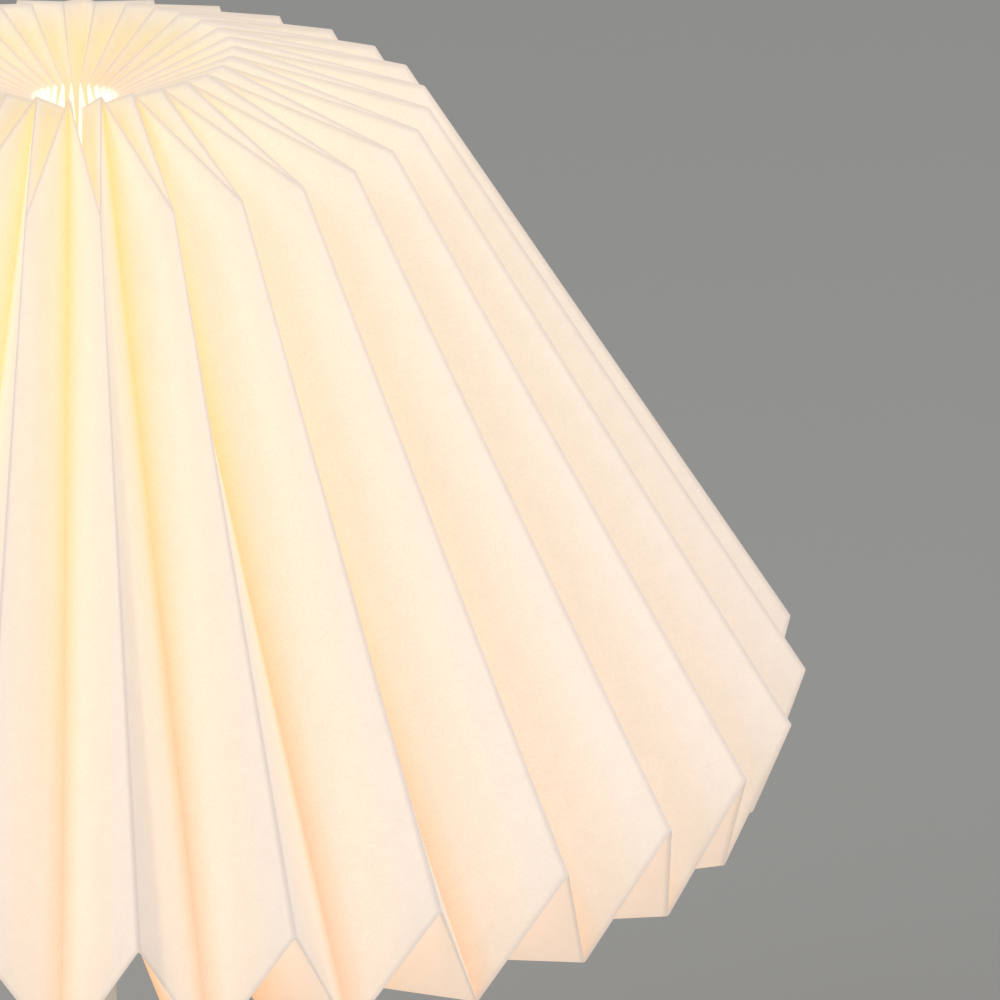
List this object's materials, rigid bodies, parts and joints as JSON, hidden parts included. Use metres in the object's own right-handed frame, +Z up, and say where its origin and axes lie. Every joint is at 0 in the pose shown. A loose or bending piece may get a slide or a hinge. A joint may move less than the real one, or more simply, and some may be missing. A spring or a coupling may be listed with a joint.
{
  "type": "pleated paper table lamp",
  "caption": "Table lamp with a wide shade of pleated folded paper, reversed at shoulder and rim, on a wire carrier, with a bulb in a lampholder, a slim stem and a round weighted base.",
  "frame": {"origin": "middle of the underside of the base, on the table", "axes": "+Z up along the stem; -Y is the front, and the cord inlet is at the back on +Y"},
  "size_m": [0.2994, 0.3, 0.3996],
  "materials": {
    "paper": "matt, lets light through",
    "card": "matt",
    "carrier": "satin powder coat",
    "holder_plastic": "fine matt",
    "insert_plastic": "matt, moulded",
    "sleeve_metal": "bright, drawn",
    "contact_metal": "bright",
    "zinc_steel": "zinc plated",
    "globe": "opal, lets light through",
    "bulb_plastic": "gloss",
    "cap_metal": "bright, rolled",
    "insulator": "gloss",
    "board": "white lacquer on aluminium",
    "stem_paint": "satin powder coat",
    "casting": "rough, black lacquer",
    "felt": "pressed felt",
    "inlet_plastic": "matt"
  },
  "bodies": {
    "lamp": {"carrier_ring": "carrier", "carrier_arms": "carrier", "carrier_plate": "carrier", "clamp_ring_upper": "holder_plastic", "clamp_ring_lower": "holder_plastic", "holder_shell": "holder_plastic", "holder_cap": "holder_plastic", "holder_core": "insert_plastic", "screw_sleeve": "sleeve_metal", "centre_contact": "contact_metal", "terminal_blocks": "contact_metal", "terminal_screws": "zinc_steel", "holder_seat": "stem_paint", "holder_nipple": "zinc_steel", "stem_tube": "stem_paint", "base_nipple": "zinc_steel", "base_collar": "stem_paint", "base_cover": "stem_paint", "base_weight": "casting", "base_washer": "zinc_steel", "base_nut": "zinc_steel", "base_pad": "felt", "cord_inlet": "inlet_plastic"},
    "shade": {"shade_sheet_right": "paper", "shade_sheet_left": "paper", "pleat_collar": "card"},
    "bulb": {"bulb_globe": "globe", "bulb_body": "bulb_plastic", "bulb_screw_cap": "cap_metal", "bulb_insulator": "insulator", "bulb_tip": "contact_metal", "led_board": "board"}
  },
  "joints": [
    {"name": "shade_lift", "type": "slide", "parent": "lamp", "child": "shade", "axis": [0, 0, 1], "range_m": [0, 0.165]},
    {"name": "bulb_unscrew", "type": "slide", "parent": "lamp", "child": "bulb", "axis": [0, 0, 1], "range_m": [0, 0.0141]}
  ]
}
